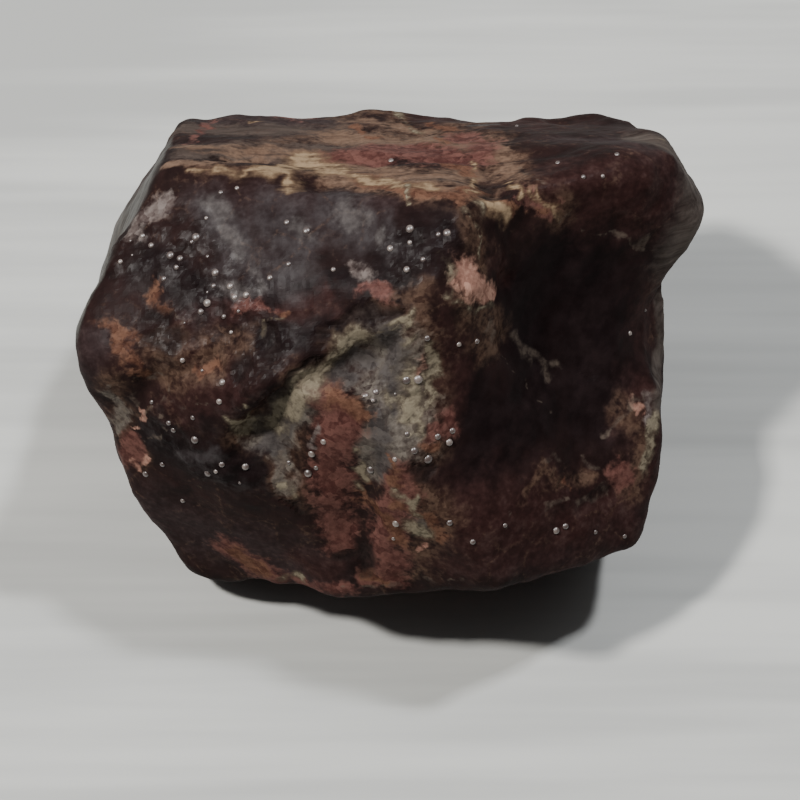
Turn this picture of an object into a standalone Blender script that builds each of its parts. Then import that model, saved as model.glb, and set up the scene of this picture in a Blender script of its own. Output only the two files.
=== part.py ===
"""A rough garnet crystal: one worn, distorted dodecahedron lying on one of its own faces.

Run with: blender --background --python part.py
Metres, +Z up. The origin is the middle of the crystal's footprint, at the level it rests on.
"""

import math

import bmesh
import bpy
import numpy as np
from mathutils import Vector, noise

MM = 0.001

# Driving dimensions, in millimetres
ROUGH_SIZE = 60.0  # the cube that the crystal is cut from
REST_DROP = 15.0  # from the crystal's middle down to the face it rests on
REST_SPARE = 1.0  # what the blank keeps below that face until the foot is cut
SKIN_STEP = 0.3  # spacing of the points that carry the worn skin
WEAR_ROUNDS = 60  # rounds of smoothing that stand for the wear on the edges
WEAR_STRENGTH = 0.5
BACK_WEAR = 0.3  # how much of that wear reaches the edges at the back and the sides
WEAR_FADE = (-3.0, 4.0)  # distances towards the front over which the wear grows to its full strength
CRISP_CREST = ((-9.7, 10.95), (-14.4, 1.7))  # the edge that stayed sharp, across and up on the front
CRISP_REACH = 1.5
CRISP_SHARE = 0.9  # how much of the wear it escaped
WANDER = 0.55  # how far the lines of the ledges and dents stray
WANDER_SPACING = 2.6
WANDER_SEED = 1795455715  # which of the noise's wanderings the lines follow
TRIANGLES = 9700  # what the skin is thinned to
AXIS_LIFT = 60.0  # degrees that the three-fold axis stands above level

# Crystal faces: degrees round the axis from +X, degrees away from the axis, millimetres from the middle
CRYSTAL_FACES = {
    "top": (90.5, 71, 9.35),
    "upper_left": (153.4, 82.2, 14.3),
    "left_point": (188, 86, 15.3),
    "lower_left": (208, 88, 14.7),
    "low_corner": (238, 86, 15.0),
    "bottom_left": (263, 98, 14.6),
    "bottom_right": (278, 104, 12.3),
    "lower_right": (313, 92, 16.75),
    "right_corner": (338, 88, 16.2),
    "right": (348, 91, 14.9),
    "upper_right": (29.5, 81.5, 17.5),
    "front_left": (140, 22, 7.3),
    "front_right": (340, 38, 6.9),
    "front_low": (246, 52, 7.6),
    "back_top": (88, 148, 14.8),
    "back_left": (176, 128, 15.6),
    "back_right": (4, 130, 15.4),
}

# Sides that features are placed from: degrees round from the front, degrees above level
SIDES = {
    "front": (0, AXIS_LIFT),
    "crown": (180, 48),
    "left": (-100, 8),
    "right": (95, 5),
    "back": (180, -20),
    "foot": (0, -46),
}

# Distances from the crystal's middle towards a side over which what is placed from that side comes in
SIDE_FADES = {
    "front": (-7.0, -3.0),
    "crown": (5.0, 8.5),
    "left": (8.0, 12.0),
    "right": (9.0, 13.0),
    "back": (1.0, 6.0),
    "foot": (5.0, 9.0),
}

# Dents, and swellings where the depth is negative:
# side, across, up, reach across, reach up, turn in degrees, depth
DENTS = {
    "right_scoop": ("front", 9.9, 1.6, 3.7, 5.2, 8, 1.9),
    "right_flank_scoop": ("front", 15.4, 1.0, 2.2, 3.2, -8, 1.7),
    "middle_hollow": ("front", -0.2, -2.6, 3.0, 3.0, 20, 1.5),
    "lower_valley": ("front", -1.8, -7.6, 1.3, 2.6, 8, 0.55),
    "lower_right_dip": ("front", 3.2, -6.4, 1.7, 2.2, -20, 0.6),
    "upper_right_lobe": ("front", 11.6, 8.6, 3.8, 2.6, -10, -0.7),
    "upper_saddle": ("front", 5.4, 7.4, 1.5, 2.6, 10, 0.5),
    "lower_right_lobe": ("front", 9.6, -7.6, 4.4, 2.8, 0, -0.75),
    "lower_left_lobe": ("front", -7.6, -6.6, 4.0, 3.0, -40, -0.7),
    "left_lobe": ("front", -9.0, 3.0, 4.5, 2.4, 10, -0.35),
    "left_gully": ("front", -10.6, -1.6, 3.4, 1.0, 28, 0.55),
    "left_neck": ("front", -14.9, -3.7, 1.6, 1.0, 60, 0.35),
    "spar_knob": ("front", 4.4, 3.0, 0.9, 0.8, 0, -0.35),
    "right_rim_knob": ("front", 14.4, -1.9, 0.9, 0.7, 0, -0.35),
    "bottom_lip": ("front", -3.2, -12.8, 3.0, 1.8, 0, -0.85),
    "crown_swelling": ("crown", 0.4, -12.6, 1.8, 2.0, 0, -0.35),
    "crown_saddle": ("crown", -6.2, -12.6, 2.4, 2.4, 0, 0.75),
    "crown_hollow": ("crown", 1.5, 1.0, 4.0, 2.0, 10, 0.5),
    "left_flank_dip": ("left", 2.0, -5.0, 3.6, 2.6, 20, 0.6),
    "left_flank_lobe": ("left", -5.5, -1.0, 3.0, 3.4, 0, -0.5),
    "right_flank_lobe": ("right", -3.5, -5.0, 3.4, 2.8, -20, -0.5),
    "right_flank_dip": ("right", 5.0, -3.0, 2.6, 3.6, 30, 0.7),
    "back_broken_scoop": ("back", 5.0, 0.5, 3.8, 2.6, -25, 1.1),
    "back_lobe": ("back", -6.0, -1.0, 3.6, 3.2, 10, -0.6),
    "back_pit": ("back", -1.0, -4.5, 1.6, 1.2, 0, 0.6),
    "foot_hollow": ("foot", -4.0, -2.0, 3.4, 1.6, 10, 0.5),
    "foot_lobe": ("foot", 5.0, 0.6, 3.6, 1.8, -8, -0.4),
}

LEDGE_WALL = (-0.15, 0.45)  # where a ledge's wall starts and ends, across its line
LEDGE_LIP = 0.4
LEDGE_END = 0.18  # share of a ledge's length over which it starts and dies away

# Ledges: the skin right of each line (walking along it) drops by a depth and climbs back over a run
# side, depth, run, points (across, up)
LEDGES = {
    "cleft": ("front", 1.4, 3.4, ((-8.0, -4.4), (-6.2, -2.6), (-4.2, -1.0), (-1.6, 0.7), (1.6, 1.3))),
    "hollow_rim": ("front", 0.3, 2.0, ((0.6, 1.9), (2.6, 0.8), (3.4, -1.4), (2.8, -4.4))),
    "crown_step_one": ("front", 0.26, 1.0, ((-10.0, 8.6), (-5.0, 8.8), (0.0, 8.5), (3.4, 7.4))),
    "crown_step_two": ("front", 0.22, 0.8, ((-9.8, 10.1), (-4.0, 10.3), (1.0, 10.0))),
    "scoop_edge": ("front", 0.3, 2.4, ((7.4, -1.6), (5.6, 0.4), (6.3, 3.6), (6.0, 7.0))),
    "lower_right_step": ("front", 0.22, 1.4, ((12.6, -4.4), (9.8, -4.6), (7.4, -5.4), (5.6, -7.4))),
    "lower_right_plate": ("front", 0.3, 1.6, ((7.4, -7.9), (9.0, -7.6), (10.8, -6.8), (12.4, -6.6))),
    "red_ridge_edge": ("front", 0.4, 1.5, ((0.2, -5.2), (-0.4, -7.4), (0.3, -9.8))),
    "left_step": ("front", 0.35, 1.4, ((-13.0, -0.6), (-10.6, -0.2), (-8.0, -0.8), (-6.4, -1.8))),
    "back_step": ("back", 0.6, 2.4, ((-1.0, 4.2), (0.8, 2.0), (0.2, -1.0), (2.4, -5.0))),
    "back_cross_step": ("back", 0.35, 1.6, ((-9.0, 3.4), (-5.0, 4.0), (-1.0, 3.2))),
    "left_flank_step": ("left", 0.4, 1.6, ((-9.0, 2.0), (-5.0, 0.4), (-1.5, -1.0), (1.0, -3.6))),
    "right_flank_step": ("right", 0.4, 1.6, ((1.5, -6.5), (4.5, -4.5), (8.5, -3.5))),
    "crown_back_step": ("crown", 0.35, 1.4, ((-10.0, -2.2), (-3.0, -1.8), (4.0, -2.4), (10.0, -1.6))),
}

# Lumps all over the skin: spacing, height, how sharply the valleys between them are cut
LUMPS = {
    "swells": (5.0, 0.34, 1.0),
    "lumps": (2.3, 0.12, 1.4),
    "grains": (1.1, 0.03, 1.0),
}
LUMP_SEED = 7.3  # where in the noise the lumps are read
PITS = 90  # small pits and bumps scattered over the skin
PIT_REACH = (0.45, 0.95)
PIT_DEPTH = (0.12, 0.38)
PIT_SENSE = (1, 1, -0.7)  # two pits to each bump, and bumps a little lower
PIT_SEED = 11

# The garnet's own colour and finish
GARNET_RED = (0.035, 0.012, 0.012)
GARNET_ROUGHNESS = 0.35


def side_frame(turn_deg, lift_deg):
    """Three unit vectors for looking at a side: across it, up it, and out towards the eye."""
    turn, lift = math.radians(turn_deg), math.radians(lift_deg)
    across = np.array([math.cos(turn), math.sin(turn), 0.0])
    level = np.array([math.sin(turn), -math.cos(turn), 0.0])
    out = level * math.cos(lift) + np.array([0.0, 0.0, math.sin(lift)])
    return across, np.cross(out, across), out


def face_normal(round_deg, away_deg):
    across, up, out = side_frame(0, AXIS_LIFT)
    turn, away = math.radians(round_deg), math.radians(away_deg)
    rim = math.cos(turn) * across + math.sin(turn) * up
    return math.sin(away) * rim + math.cos(away) * out


def keep_below(bm, point, normal):
    """Cuts away all that lies beyond a plane, and closes the cut with one flat face."""
    everything = bm.verts[:] + bm.edges[:] + bm.faces[:]
    cut = bmesh.ops.bisect_plane(
        bm, geom=everything, plane_co=point, plane_no=normal, clear_outer=True
    )
    rim = [item for item in cut["geom_cut"] if isinstance(item, bmesh.types.BMEdge)]
    bmesh.ops.holes_fill(bm, edges=rim)


def crystal_blank():
    """The crystal before any wear: a block cut by every crystal face."""
    bm = bmesh.new()
    bmesh.ops.create_cube(bm, size=ROUGH_SIZE * MM)
    for turn, away, distance in CRYSTAL_FACES.values():
        normal = Vector(face_normal(turn, away))
        keep_below(bm, normal * distance * MM, normal)
    foot = Vector((0, 0, -1))
    keep_below(bm, foot * (REST_DROP + REST_SPARE) * MM, foot)
    mesh = bpy.data.meshes.new("garnet_blank")
    bm.to_mesh(mesh)
    bm.free()
    return mesh


def evaluated_mesh(obj):
    """A plain mesh of the object as its modifiers leave it."""
    graph = bpy.context.evaluated_depsgraph_get()
    return bpy.data.meshes.new_from_object(obj.evaluated_get(graph))


def even_skin(stone):
    """Gives the blank an even skin of small quads."""
    remesh = stone.modifiers.new("even_skin", "REMESH")
    remesh.mode = "VOXEL"
    remesh.voxel_size = SKIN_STEP * MM
    stone.data = evaluated_mesh(stone)
    stone.modifiers.clear()


def wear_edges(stone):
    """Rounds the edges, most of all on the front, where the crystal was rubbed."""
    worn = stone.vertex_groups.new(name="worn")
    places = read_points(stone.data)
    across, up, out = side_frame(*SIDES["front"])
    shares = BACK_WEAR + (1 - BACK_WEAR) * smooth_step(places @ out, *WEAR_FADE)
    crest_gap = line_gap(np.stack([places @ across, places @ up], axis=1), *CRISP_CREST)
    shares *= 1 - CRISP_SHARE * np.exp(-((crest_gap / CRISP_REACH) ** 2))
    for index, share in enumerate(shares):
        worn.add([index], float(share), "REPLACE")
    wear = stone.modifiers.new("wear", "SMOOTH")
    wear.vertex_group = "worn"
    wear.factor = WEAR_STRENGTH
    wear.iterations = WEAR_ROUNDS
    stone.data = evaluated_mesh(stone)
    stone.modifiers.clear()
    stone.vertex_groups.clear()


def line_gap(flat, start, end):
    """How far each flat place is from a straight line."""
    step = np.subtract(end, start)
    along = np.clip((flat - start) @ step / (step @ step), 0, 1)
    return np.linalg.norm(flat - start - along[:, None] * step, axis=1)


def read_points(mesh):
    points = np.empty(len(mesh.vertices) * 3)
    mesh.vertices.foreach_get("co", points)
    return points.reshape(-1, 3) / MM


def read_normals(mesh):
    normals = np.array([normal.vector for normal in mesh.vertex_normals])
    return normals.reshape(-1, 3)


def dent_depth(places, side, across, up, reach_across, reach_up, turn_deg, depth):
    """How far each place is pressed in by one dent, in millimetres."""
    side_across, side_up, _ = side_frame(*SIDES[side])
    a, b = places @ side_across - across, places @ side_up - up
    turn = math.radians(turn_deg)
    along = (a * math.cos(turn) + b * math.sin(turn)) / reach_across
    beside = (b * math.cos(turn) - a * math.sin(turn)) / reach_up
    return depth * np.exp(-(along**2 + beside**2)) * near_side(places, side)


def near_side(places, side):
    """1 on the part of the crystal that faces a side, fading to 0 beyond it."""
    return smooth_step(places @ side_frame(*SIDES[side])[2], *SIDE_FADES[side])


def smooth_step(values, low, high):
    share = np.clip((values - low) / (high - low), 0, 1)
    return share * share * (3 - 2 * share)


def ledge_depth(places, side, depth, run, points):
    """How far each place drops below one ledge, in millimetres."""
    side_across, side_up, _ = side_frame(*SIDES[side])
    flat = np.stack([places @ side_across, places @ side_up], axis=1)
    nearest = np.full(len(flat), np.inf)
    offset = np.zeros(len(flat))
    share_along = np.zeros(len(flat))
    line = np.array(points)
    legs = len(line) - 1
    for leg in range(legs):
        start, step = line[leg], line[leg + 1] - line[leg]
        along = np.clip((flat - start) @ step / (step @ step), 0, 1)
        gap = flat - start - along[:, None] * step
        length = np.linalg.norm(gap, axis=1)
        right_hand = (gap[:, 0] * step[1] - gap[:, 1] * step[0]) / np.linalg.norm(step)
        closer = length < nearest
        nearest = np.where(closer, length, nearest)
        offset = np.where(closer, np.where(right_hand >= 0, length, -length), offset)
        share_along = np.where(closer, (leg + along) / legs, share_along)
    wall = smooth_step(offset, *LEDGE_WALL)
    climb = np.exp(-((np.maximum(offset, 0) / run) ** 2))
    ends = smooth_step(share_along, 0.0, LEDGE_END) * smooth_step(1 - share_along, 0.0, LEDGE_END)
    lip = np.exp(-((np.minimum(offset, 0) / LEDGE_LIP) ** 2))
    return depth * wall * climb * lip * ends * near_side(places, side)


def lump_height(place):
    """Height of the natural lumps at a place, in millimetres."""
    height = 0.0
    for spacing, tall, sharpness in LUMPS.values():
        value = noise.noise(place / spacing + Vector((LUMP_SEED, spacing, 0)))
        height += tall * math.copysign(abs(value) ** (1 / sharpness), value)
    return height


def wandered(places):
    """The places shifted a little by smooth noise, so that what is set by them doesn't run straight."""
    noise.seed_set(WANDER_SEED)
    shifts = [noise.noise_vector(Vector(place / WANDER_SPACING)) for place in places]
    return places + np.array(shifts) * WANDER


def pit_depths(places):
    """Small pits, and some bumps, at seeded random points of the skin."""
    chance = np.random.default_rng(PIT_SEED)
    depth = np.zeros(len(places))
    for centre in chance.choice(len(places), PITS, replace=False):
        reach = chance.uniform(*PIT_REACH)
        deep = chance.uniform(*PIT_DEPTH) * chance.choice(PIT_SENSE)
        gap = np.linalg.norm(places - places[centre], axis=1)
        depth += deep * np.exp(-((gap / reach) ** 2))
    return depth


def carve(stone):
    """Presses the dents, ledges, lumps and pits into the skin, each along the skin's own normal."""
    mesh = stone.data
    places, normals = read_points(mesh), read_normals(mesh)
    depth = np.zeros(len(places))
    strayed = wandered(places)
    for dent in DENTS.values():
        depth += dent_depth(strayed, *dent)
    for ledge in LEDGES.values():
        depth += ledge_depth(strayed, *ledge)
    depth += pit_depths(places)
    depth -= np.array([lump_height(Vector(place)) for place in places])
    places = places - normals * depth[:, None]
    mesh.vertices.foreach_set("co", (places * MM).ravel())
    mesh.update()


def count_triangles(mesh):
    mesh.calc_loop_triangles()
    return len(mesh.loop_triangles)


def thin_skin(stone):
    """Thins the skin to its triangle count, keeping most triangles where it bends most."""
    triangles = stone.modifiers.new("triangles", "TRIANGULATE")
    triangles.min_vertices = 4
    thin = stone.modifiers.new("thin", "DECIMATE")
    thin.ratio = TRIANGLES / count_triangles(stone.data)
    stone.data = evaluated_mesh(stone)
    stone.modifiers.clear()


def flatten_foot(stone):
    """Cuts the face that the crystal rests on, and sets the origin under its middle."""
    bm = bmesh.new()
    bm.from_mesh(stone.data)
    keep_below(bm, Vector((0, 0, -REST_DROP * MM)), Vector((0, 0, -1)))
    corners = np.array([v.co for v in bm.verts])
    low, high = corners.min(axis=0), corners.max(axis=0)
    middle = Vector(((low[0] + high[0]) / 2, (low[1] + high[1]) / 2, -REST_DROP * MM))
    bmesh.ops.translate(bm, verts=bm.verts, vec=-middle)
    bm.to_mesh(stone.data)
    bm.free()


def garnet_material():
    material = bpy.data.materials.new("garnet")
    material.use_nodes = True
    shader = material.node_tree.nodes["Principled BSDF"]
    shader.inputs["Base Color"].default_value = (*GARNET_RED, 1)
    shader.inputs["Roughness"].default_value = GARNET_ROUGHNESS
    shader.inputs["Metallic"].default_value = 0
    material.diffuse_color = (*GARNET_RED, 1)
    return material


def main():
    for old in list(bpy.data.objects):
        bpy.data.objects.remove(old)
    group = bpy.data.collections.new("garnet_crystal")
    bpy.context.scene.collection.children.link(group)
    stone = bpy.data.objects.new("garnet_crystal", crystal_blank())
    group.objects.link(stone)
    even_skin(stone)
    wear_edges(stone)
    carve(stone)
    thin_skin(stone)
    flatten_foot(stone)
    stone.data.name = "garnet_crystal"
    stone.data.materials.append(garnet_material())


main()
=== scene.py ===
import math

import bmesh
import bpy
import numpy as np
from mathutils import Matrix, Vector, noise
from mathutils.bvhtree import BVHTree


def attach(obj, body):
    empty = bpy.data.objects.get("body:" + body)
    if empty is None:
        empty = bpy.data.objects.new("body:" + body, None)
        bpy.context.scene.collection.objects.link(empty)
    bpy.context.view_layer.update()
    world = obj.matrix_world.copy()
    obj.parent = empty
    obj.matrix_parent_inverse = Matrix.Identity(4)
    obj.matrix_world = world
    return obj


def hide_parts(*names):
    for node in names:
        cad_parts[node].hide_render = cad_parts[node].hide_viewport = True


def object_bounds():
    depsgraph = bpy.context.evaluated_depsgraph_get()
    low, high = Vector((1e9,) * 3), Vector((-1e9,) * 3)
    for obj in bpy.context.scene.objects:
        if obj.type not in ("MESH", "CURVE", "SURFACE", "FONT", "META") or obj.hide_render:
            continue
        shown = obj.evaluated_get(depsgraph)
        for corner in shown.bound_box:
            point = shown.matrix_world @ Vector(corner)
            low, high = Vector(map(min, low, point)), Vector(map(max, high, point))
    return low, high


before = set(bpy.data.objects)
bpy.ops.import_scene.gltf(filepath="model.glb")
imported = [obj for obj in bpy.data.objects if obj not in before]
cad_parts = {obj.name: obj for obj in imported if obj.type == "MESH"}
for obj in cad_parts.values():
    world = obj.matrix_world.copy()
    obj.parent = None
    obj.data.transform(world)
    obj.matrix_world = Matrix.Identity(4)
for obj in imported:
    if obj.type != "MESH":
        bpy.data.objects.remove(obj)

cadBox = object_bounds()
mm = 0.001
print("frame loaded")


class Wire:  # an output socket; sums written on wires become nodes
    def __init__(self, graph, socket):
        self.graph = graph
        self.socket = socket

    def maths(self, operation, first, second):
        return self.graph.node("ShaderNodeMath", {"operation": operation}, {0: first, 1: second})

    def __add__(self, other):
        return self.maths("ADD", self, other)

    def __radd__(self, other):
        return self.maths("ADD", other, self)

    def __sub__(self, other):
        return self.maths("SUBTRACT", self, other)

    def __rsub__(self, other):
        return self.maths("SUBTRACT", other, self)

    def __mul__(self, other):
        return self.maths("MULTIPLY", self, other)

    def __rmul__(self, other):
        return self.maths("MULTIPLY", other, self)


class Graph:
    def __init__(self, tree):
        self.tree = tree

    def feed(self, made, sockets):  # sets a node's sockets from wires or plain values
        for name, value in sockets.items():
            if isinstance(value, Wire):
                self.tree.links.new(value.socket, made.inputs[name])
            else:
                made.inputs[name].default_value = value

    def node(self, kind, settings=None, sockets=None, output=0):
        made = self.tree.nodes.new(kind)
        for name, value in (settings or {}).items():
            setattr(made, name, value)
        self.feed(made, sockets or {})
        return Wire(self, made.outputs[output])

    def larger(self, first, second):
        return self.node("ShaderNodeMath", {"operation": "MAXIMUM"}, {0: first, 1: second})

    def step(self, value, low, high):  # 0 below low, 1 above high, smooth between
        return self.node("ShaderNodeMapRange", {"interpolation_type": "SMOOTHSTEP"},
                         {"Value": value, "From Min": low, "From Max": high})

    def mix(self, amount, first, second):  # colours
        return self.node("ShaderNodeMix", {"data_type": "RGBA"}, {0: amount, 6: first, 7: second}, 2)

    def vectors(self, operation, first, second):
        return self.node("ShaderNodeVectorMath", {"operation": operation}, {0: first, 1: second})

    def scaled(self, vector, amount):
        return self.node("ShaderNodeVectorMath", {"operation": "SCALE"}, {0: vector, "Scale": amount})

    def dot(self, first, second):
        return self.node("ShaderNodeVectorMath", {"operation": "DOT_PRODUCT"}, {0: first, 1: second}, 1)

    def stretched(self, vector, factors):
        return self.vectors("MULTIPLY", vector, factors)

    def combined(self, x, y, z):
        return self.node("ShaderNodeCombineXYZ", None, {0: x, 1: y, 2: z})

    def cloud(self, place, perMm, detail=2.0, rough=0.5, warp=0.0):  # smooth noise, 0 to 1
        return self.node("ShaderNodeTexNoise", {"noise_dimensions": "3D"},
                         {"Vector": place, "Scale": perMm, "Detail": detail, "Roughness": rough,
                          "Distortion": warp})

    def cells(self, place, perMm, feature="F1"):
        return self.node("ShaderNodeTexVoronoi", {"feature": feature}, {"Vector": place, "Scale": perMm})

    def roundedCells(self, place, perMm, smooth):
        return self.node("ShaderNodeTexVoronoi", {"feature": "SMOOTH_F1"},
                         {"Vector": place, "Scale": perMm, "Smoothness": smooth})

    def chips(self, place, perMm):  # flat pieces, each with its own number from 0 to 1
        color = self.node("ShaderNodeTexVoronoi", None, {"Vector": place, "Scale": perMm}, "Color")
        return self.node("ShaderNodeSeparateColor", None, {0: color})

    def onPoints(self, name):  # a number kept on the points of the mesh, for geometry trees
        return self.node("GeometryNodeInputNamedAttribute", {"data_type": "FLOAT"}, {"Name": name})


def newMaterial(name):
    material = bpy.data.materials.new(name)
    material.use_nodes = True
    graph = Graph(material.node_tree)
    return material, graph, graph.node("ShaderNodeTexCoord", output="Object")


def finishWith(material, graph, sockets):
    graph.feed(material.node_tree.nodes["Principled BSDF"], sockets)
    return material


viewpoint = {
    "elevation": 60.0,  # degrees above the floor
    "distance": 140.0,  # mm from the spot it looks at
    "lookAt": (0.375, -4.77, 13.73),  # mm
    "frameWidth": 40.6,  # mm across the image at that spot
    "imageSide": 800,  # pixels
    "clip": (0.005, 10.0),  # metres, the nearest and the farthest that is drawn
}


def viewAxes():
    lift = math.radians(viewpoint["elevation"])
    back = Vector((0, -math.cos(lift), math.sin(lift)))
    up = Vector((0, math.sin(lift), math.cos(lift)))
    return Vector((1, 0, 0)), up, back


def makeCamera():
    back = viewAxes()[2]
    lens = bpy.data.cameras.new("viewCamera")
    lens.lens = lens.sensor_width * viewpoint["distance"] / viewpoint["frameWidth"]
    lens.clip_start, lens.clip_end = viewpoint["clip"]
    camera = bpy.data.objects.new("viewCamera", lens)
    bpy.context.scene.collection.objects.link(camera)
    camera.location = (Vector(viewpoint["lookAt"]) + back * viewpoint["distance"]) * mm
    camera.rotation_mode = "QUATERNION"
    camera.rotation_quaternion = (-back).to_track_quat("-Z", "Y")
    bpy.context.scene.camera = camera
    return camera


def pixelRay(camera, place):  # from the camera through a place in the image
    right, up, _ = viewAxes()
    perPixel = viewpoint["frameWidth"] / viewpoint["imageSide"]
    middle = viewpoint["imageSide"] / 2
    across = right * (place[0] - middle) * perPixel
    down = up * (middle - place[1]) * perPixel
    spot = (Vector(viewpoint["lookAt"]) + across + down) * mm
    return camera.location, (spot - camera.location).normalized()


studio = {
    "floorSide": 3.0,  # metres
    "floorDull": (0.49, 0.495, 0.475, 1),  # in the streaks of the board
    "floorPale": (0.66, 0.665, 0.635, 1),
    "floorRough": 0.7,
    "floorStreaks": (6.0, 90.0, 1.0),  # how often they change in a metre, along x, y and z
    "floorFarWay": (-0.6, 0.8, 0.0),  # the way in which the board grows duller
    "floorFarSpan": (0.022, 0.040),  # metres that way, where it starts and ends
    "skyBright": (0.95, 0.97, 1.0, 1),
    "skyDark": (0.035, 0.035, 0.037, 1),
    "skyStrength": 0.32,
    "skyFrom": (-0.30, 0.62, 0.72),  # towards the bright part of the sky
    "lamps": {  # place and size in mm, power in watts
        "lampLeft": {"place": (-203, -36, 353), "size": 34, "power": 1.6, "color": (1.0, 0.98, 0.95)},
        "lampRight": {"place": (130, 75, 381), "size": 34, "power": 0.95, "color": (0.95, 0.97, 1.0)},
    },
}


def makeFloor():
    half = studio["floorSide"] / 2
    corners = [(-half, -half, 0), (half, -half, 0), (half, half, 0), (-half, half, 0)]
    mesh = bpy.data.meshes.new("floor")
    mesh.from_pydata(corners, [], [(0, 1, 2, 3)])
    floor = bpy.data.objects.new("floor", mesh)
    bpy.context.scene.collection.objects.link(floor)
    material, graph, place = newMaterial("paleFloor")
    along = graph.stretched(place, studio["floorStreaks"])
    streaks = graph.cloud(along, 1.0, 4.0, 0.6) * 0.6 + graph.cloud(along, 4.0, 3.0, 0.6) * 0.4
    far = graph.step(graph.dot(place, studio["floorFarWay"]), *studio["floorFarSpan"]) * 0.8
    pale = graph.step(streaks - far * 0.3, 0.30, 0.62)
    color = graph.mix(pale, studio["floorDull"], studio["floorPale"])
    finishWith(material, graph, {"Base Color": color, "Roughness": studio["floorRough"]})
    mesh.materials.append(material)


def makeSky():
    world = bpy.data.worlds.new("softSky")
    bpy.context.scene.world = world
    world.use_nodes = True
    graph = Graph(world.node_tree)
    way = graph.node("ShaderNodeTexCoord", output="Generated")
    height = graph.dot(way, Vector(studio["skyFrom"]).normalized())
    color = graph.mix(graph.step(height, 0.1, 1.0), studio["skyDark"], studio["skyBright"])
    graph.feed(world.node_tree.nodes["Background"], {"Color": color, "Strength": studio["skyStrength"]})


def makeLamps():
    target = Vector(viewpoint["lookAt"]) * mm
    for name, lamp in studio["lamps"].items():
        light = bpy.data.lights.new(name, "AREA")
        light.size = lamp["size"] * mm
        light.energy = lamp["power"]
        light.color = lamp["color"]
        holder = bpy.data.objects.new(name, light)
        bpy.context.scene.collection.objects.link(holder)
        holder.location = Vector(lamp["place"]) * mm
        holder.rotation_mode = "QUATERNION"
        holder.rotation_quaternion = (holder.location - target).to_track_quat("Z", "Y")


crystalSkin = {
    "step": 0.195,  # mm between its points
    "weld": 0.001,  # mm, points of the solid nearer than this are joined
    "softening": 0.5,  # how far each round moves a point towards its neighbours
    "smoothing": 11,  # rounds that take the flat facets off
    "polishedWay": (-0.886, 0.317, 0.340),  # the way the one polished face looks
    "middle": (0.0, 0.0, 12.0),  # mm, where the patches on the hidden sides are measured from
    "around": 60,  # mm, farther from the middle than any point of the skin
    "wander": [(0.55, 1.2), (0.3, 0.45)],  # mm, how far the patches' outlines stray and how often
    "wanderSeed": 3,
    "outside": -6.0,  # the least that a patch's number falls to; 0 is its outline, 1 its middle line
    "hiddenFrom": 0.10,  # how little a face looks at the camera where it takes the hidden sides' colours
    "hiddenFade": 0.3,
}


def bakedMesh(holder, name):  # the mesh that an object's modifiers make
    evaluated = holder.evaluated_get(bpy.context.evaluated_depsgraph_get())
    mesh = bpy.data.meshes.new_from_object(evaluated)
    mesh.name = name
    return mesh


def makeSkin(node):
    mesh = node.data.copy()
    bm = bmesh.new()
    bm.from_mesh(mesh)
    bmesh.ops.remove_doubles(bm, verts=bm.verts, dist=crystalSkin["weld"] * mm)
    bm.to_mesh(mesh)
    bm.free()
    mesh.materials.clear()
    skin = bpy.data.objects.new("garnetSkin", mesh)
    bpy.context.scene.collection.objects.link(skin)
    remesh = skin.modifiers.new("evenSkin", "REMESH")
    remesh.mode = "VOXEL"
    remesh.voxel_size = crystalSkin["step"] * mm
    soften = skin.modifiers.new("softenFacets", "SMOOTH")
    soften.factor = crystalSkin["softening"]
    soften.iterations = crystalSkin["smoothing"]
    skin.data = bakedMesh(skin, "garnetSkin")
    skin.modifiers.clear()
    return skin


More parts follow.
